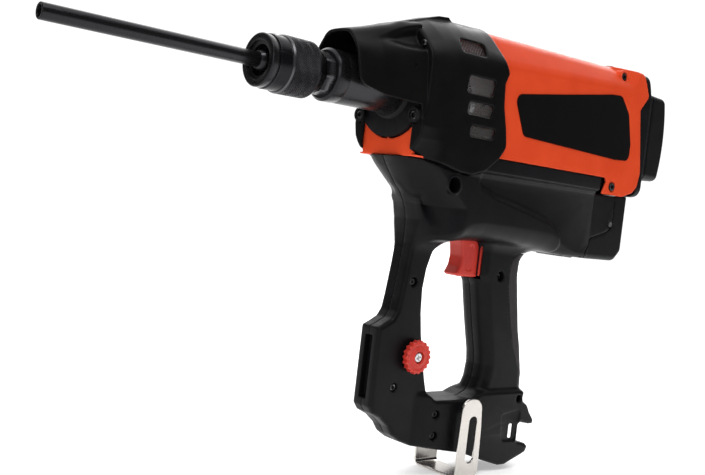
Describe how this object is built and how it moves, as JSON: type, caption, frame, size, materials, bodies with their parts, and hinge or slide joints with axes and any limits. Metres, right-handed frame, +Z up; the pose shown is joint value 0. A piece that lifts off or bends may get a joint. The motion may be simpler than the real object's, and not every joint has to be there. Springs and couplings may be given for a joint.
{
  "type": "nail gun",
  "caption": "Gas-fired single-shot fastening tool with a long plain barrel, knurled collar, vented hood, loop handle and belt hook.",
  "frame": {"origin": "centre of the barrel's muzzle, on the barrel's axis", "axes": "+X runs back along the barrel from the muzzle to the motor cap, +Z is up, and -Y is the tool's left side, the one with the magazine clamp knob"},
  "size_m": [0.691, 0.088, 0.4173],
  "materials": {
    "blued_steel": "blued and oiled",
    "bronze": "plain bearing bronze",
    "steel": "turned",
    "cast_aluminium": "as cast",
    "spring_steel": "drawn wire",
    "white_plastic": "plain",
    "black_plastic": "fine texture",
    "screw_steel": "black oxide",
    "o_ring": "black nitrile",
    "bumper_rubber": "matt",
    "ceramic": "glazed insulator",
    "motor_can": "plated",
    "coil_resin": "potted",
    "zinc_screw": "zinc plated",
    "mesh_steel": "woven",
    "orange_plastic": "satin",
    "label_film": "gloss film, plain",
    "grip_rubber": "soft-touch, matt",
    "circuit_board": "solder resist",
    "red_plastic": "satin",
    "switch_plastic": "plain",
    "contact_brass": "plated",
    "cell_can": "drawn can",
    "hose": "plain",
    "stainless": "brushed"
  },
  "bodies": {
    "housing": {"nose_plate": "black_plastic", "nose_screws": "screw_steel", "cylinder": "cast_aluminium", "cylinder_seal": "o_ring", "bumper": "bumper_rubber", "cylinder_head": "cast_aluminium", "head_seal": "o_ring", "spark_plug": "ceramic", "fan_motor": "motor_can", "ignition_coil": "coil_resin", "front_hood": "black_plastic", "hood_screws": "zinc_screw", "vent_mesh_left": "mesh_steel", "vent_mesh_right": "mesh_steel", "motor_housing": "orange_plastic", "housing_screws": "zinc_screw", "top_stud": "screw_steel", "label_panels": "label_film", "rear_bezel": "black_plastic", "rear_cap": "black_plastic", "lower_housing_left": "black_plastic", "lower_housing_right": "black_plastic", "clamshell_screws": "screw_steel", "grip_rubber": "grip_rubber", "control_board": "circuit_board", "trigger_switch": "switch_plastic", "battery_contacts": "contact_brass", "fuel_cell": "cell_can", "fuel_valve": "white_plastic", "fuel_tube": "hose", "door_hinge_pin": "steel", "door_catch_pin": "steel", "hook_screws": "zinc_screw"},
    "nose": {"barrel_tube": "blued_steel", "barrel_sleeve": "blued_steel", "neck_sleeve": "blued_steel", "flange_ring": "blued_steel", "neck_tube": "blued_steel", "driver_bush": "bronze", "link_yoke": "steel", "link_rods": "steel", "chamber_sleeve": "cast_aluminium", "return_spring": "spring_steel"},
    "collar": {"front_ring": "blued_steel", "knurled_collar": "blued_steel", "collar_set_pin": "steel"},
    "piston": {"driver_rod": "steel", "piston": "steel", "piston_rings": "spring_steel"},
    "fan": {"fan": "white_plastic", "fan_shaft": "steel"},
    "trigger": {"trigger": "red_plastic", "trigger_spring": "spring_steel"},
    "clamp_knob": {"clamp_knob": "red_plastic", "knob_screw": "zinc_screw"},
    "fuel_door": {"fuel_door": "black_plastic"},
    "belt_hook": {"belt_hook": "stainless"}
  },
  "joints": [
    {"name": "nose_press", "type": "slide", "parent": "housing", "child": "nose", "axis": [1, 0, 0], "range_m": [0, 0.02], "stiffness_N_per_m": 2500, "springref_m": -0.01, "deforming": ["return_spring"]},
    {"name": "collar_turn", "type": "hinge", "parent": "nose", "child": "collar", "pos_m": [0.2, 0, 0], "axis": [1, 0, 0], "range_deg": [0, 90]},
    {"name": "piston_stroke", "type": "slide", "parent": "housing", "child": "piston", "axis": [-1, 0, 0], "range_m": [0, 0.1095]},
    {"name": "fan_spin", "type": "hinge", "parent": "housing", "child": "fan", "pos_m": [0.55, 0, 0], "axis": [1, 0, 0], "continuous": true},
    {"name": "trigger_pull", "type": "slide", "parent": "housing", "child": "trigger", "axis": [1, 0, 0], "range_m": [0, 0.0075], "stiffness_N_per_m": 800, "springref_m": -0.004, "deforming": ["trigger_spring"]},
    {"name": "knob_turn", "type": "hinge", "parent": "housing", "child": "clamp_knob", "pos_m": [0.365, 0, -0.23], "axis": [0, 1, 0], "continuous": true},
    {"name": "fuel_door_swing", "type": "hinge", "parent": "housing", "child": "fuel_door", "pos_m": [0.5635, 0, -0.128], "axis": [0, 1, 0], "range_deg": [0, 95]},
    {"name": "hook_height", "type": "slide", "parent": "housing", "child": "belt_hook", "axis": [0, 0, 1], "range_m": [0, 0.012]}
  ]
}
